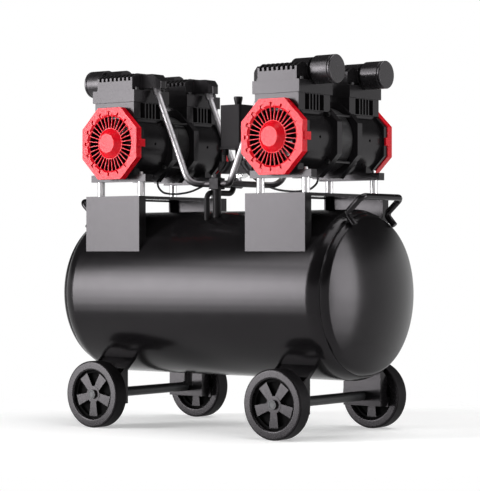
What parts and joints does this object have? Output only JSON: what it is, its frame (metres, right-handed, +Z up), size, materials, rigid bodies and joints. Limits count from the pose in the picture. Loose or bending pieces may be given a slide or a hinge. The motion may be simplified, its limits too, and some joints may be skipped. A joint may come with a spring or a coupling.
{
  "type": "air compressor",
  "caption": "Oil-free electric air compressor: horizontal tank on wheels with end handles, carrying motor-driven piston pumps with red fan covers, pressure switch, gauge and outlet valve.",
  "frame": {"origin": "on the floor under the middle of the tank", "axes": "+Z up, X along the tank and its handles, +Y towards the side with the gauge and the outlet"},
  "size_m": [0.6978, 0.352, 0.7045],
  "materials": {
    "tank_paint": "satin black enamel",
    "frame_paint": "satin black powder coat",
    "tyre_rubber": "moulded rubber with a grey sidewall",
    "hub_plastic": "moulded grey plastic",
    "axle_steel": "black steel tube",
    "post_steel": "bright zinc",
    "casting_black": "black painted casting",
    "stack_grey": "dark laminated steel",
    "rotor_steel": "turned steel",
    "piston_alloy": "machined",
    "bearing_steel": "ground steel",
    "filter_plastic": "satin black",
    "cover_red": "moulded red plastic",
    "fan_plastic": "moulded dark plastic",
    "pipe_alloy": "drawn tube, bright",
    "bolt_steel": "dark zinc",
    "brass": "machined brass",
    "control_black": "black manifold and riser",
    "switch_plastic": "moulded black plastic",
    "knob_plastic": "moulded black plastic",
    "gauge_steel": "bright steel case",
    "needle_paint": "red",
    "lead_rubber": "black sheath"
  },
  "bodies": {
    "machine": {"tank_shell": "tank_paint", "legs": "frame_paint", "axles": "axle_steel", "pump_posts": "post_steel", "check_valve": "control_black", "control_manifold": "control_black", "switch_base": "switch_plastic", "switch_cover": "switch_plastic", "gauge_case": "gauge_steel", "safety_valve": "brass", "outlet_valve": "brass", "drain_valve": "control_black", "motor_leads": "lead_rubber", "pump_bolts": "bolt_steel", "shaft_bearings": "bearing_steel", "tank_end_left": "tank_paint", "handle_left": "frame_paint", "saddle_left": "frame_paint", "discharge_pipes_left": "pipe_alloy", "stator_left": "stack_grey", "cylinders_left": "casting_black", "cylinder_heads_left": "casting_black", "intake_filters_left": "filter_plastic", "crankcase_front_left": "casting_black", "fan_cover_front_left": "cover_red", "crankcase_rear_left": "casting_black", "fan_cover_rear_left": "cover_red", "tank_end_right": "tank_paint", "handle_right": "frame_paint", "saddle_right": "frame_paint", "discharge_pipes_right": "pipe_alloy", "stator_right": "stack_grey", "cylinders_right": "casting_black", "cylinder_heads_right": "casting_black", "intake_filters_right": "filter_plastic", "crankcase_front_right": "casting_black", "fan_cover_front_right": "cover_red", "crankcase_rear_right": "casting_black", "fan_cover_rear_right": "cover_red"},
    "wheel_front_left": {"tyre_front_left": "tyre_rubber", "wheel_hub_front_left": "hub_plastic"},
    "wheel_front_right": {"tyre_front_right": "tyre_rubber", "wheel_hub_front_right": "hub_plastic"},
    "wheel_rear_left": {"tyre_rear_left": "tyre_rubber", "wheel_hub_rear_left": "hub_plastic"},
    "wheel_rear_right": {"tyre_rear_right": "tyre_rubber", "wheel_hub_rear_right": "hub_plastic"},
    "shaft_left": {"rotor_left": "rotor_steel", "cooling_fans_left": "fan_plastic"},
    "shaft_right": {"rotor_right": "rotor_steel", "cooling_fans_right": "fan_plastic"},
    "piston_front_left": {"piston_front_left": "piston_alloy"},
    "piston_rear_left": {"piston_rear_left": "piston_alloy"},
    "piston_front_right": {"piston_front_right": "piston_alloy"},
    "piston_rear_right": {"piston_rear_right": "piston_alloy"},
    "switch_knob": {"switch_knob": "knob_plastic"},
    "gauge_needle": {"gauge_needle": "needle_paint"},
    "safety_ring": {"safety_ring": "bearing_steel"},
    "outlet_lever": {"outlet_lever": "frame_paint"},
    "drain_key": {"drain_key": "control_black"}
  },
  "joints": [
    {"name": "wheel_front_left_spin", "type": "hinge", "parent": "machine", "child": "wheel_front_left", "pos_m": [-0.2189, -0.16, 0.065], "axis": [0, 1, 0], "continuous": true},
    {"name": "wheel_front_right_spin", "type": "hinge", "parent": "machine", "child": "wheel_front_right", "pos_m": [0.2189, -0.16, 0.065], "axis": [0, 1, 0], "continuous": true},
    {"name": "wheel_rear_left_spin", "type": "hinge", "parent": "machine", "child": "wheel_rear_left", "pos_m": [-0.2189, 0.16, 0.065], "axis": [0, 1, 0], "continuous": true},
    {"name": "wheel_rear_right_spin", "type": "hinge", "parent": "machine", "child": "wheel_rear_right", "pos_m": [0.2189, 0.16, 0.065], "axis": [0, 1, 0], "continuous": true},
    {"name": "shaft_left_spin", "type": "hinge", "parent": "machine", "child": "shaft_left", "pos_m": [-0.1974, 0, 0.5544], "axis": [0, 1, 0], "continuous": true},
    {"name": "shaft_right_spin", "type": "hinge", "parent": "machine", "child": "shaft_right", "pos_m": [0.1974, 0, 0.5544], "axis": [0, 1, 0], "continuous": true},
    {"name": "piston_front_left_stroke", "type": "slide", "parent": "machine", "child": "piston_front_left", "axis": [0, 0, 1], "range_m": [-0.007, 0.007]},
    {"name": "piston_rear_left_stroke", "type": "slide", "parent": "machine", "child": "piston_rear_left", "axis": [0, 0, 1], "range_m": [-0.007, 0.007]},
    {"name": "piston_front_right_stroke", "type": "slide", "parent": "machine", "child": "piston_front_right", "axis": [0, 0, 1], "range_m": [-0.007, 0.007]},
    {"name": "piston_rear_right_stroke", "type": "slide", "parent": "machine", "child": "piston_rear_right", "axis": [0, 0, 1], "range_m": [-0.007, 0.007]},
    {"name": "knob_pull", "type": "slide", "parent": "machine", "child": "switch_knob", "axis": [0, 0, 1], "range_m": [0, 0.006]},
    {"name": "needle_sweep", "type": "hinge", "parent": "machine", "child": "gauge_needle", "pos_m": [-0.022, 0.0494, 0.508], "axis": [0, -1, 0], "range_deg": [0, 270], "stiffness_Nm_per_rad": 0.0002},
    {"name": "safety_pull", "type": "slide", "parent": "machine", "child": "safety_ring", "axis": [1, 0, 0], "range_m": [0, 0.003], "stiffness_N_per_m": 800},
    {"name": "outlet_turn", "type": "hinge", "parent": "machine", "child": "outlet_lever", "pos_m": [0.022, 0.045, 0.5285], "axis": [0, 0, 1], "range_deg": [-90, 0]},
    {"name": "drain_turn", "type": "hinge", "parent": "machine", "child": "drain_key", "pos_m": [-0.118, 0, 0.085], "axis": [0, 0, 1], "range_deg": [0, 90]}
  ],
  "couplings": [
    {"joint": "piston_front_left_stroke", "follows": "piston_rear_left_stroke", "ratio": -1},
    {"joint": "piston_front_right_stroke", "follows": "piston_rear_right_stroke", "ratio": -1}
  ]
}
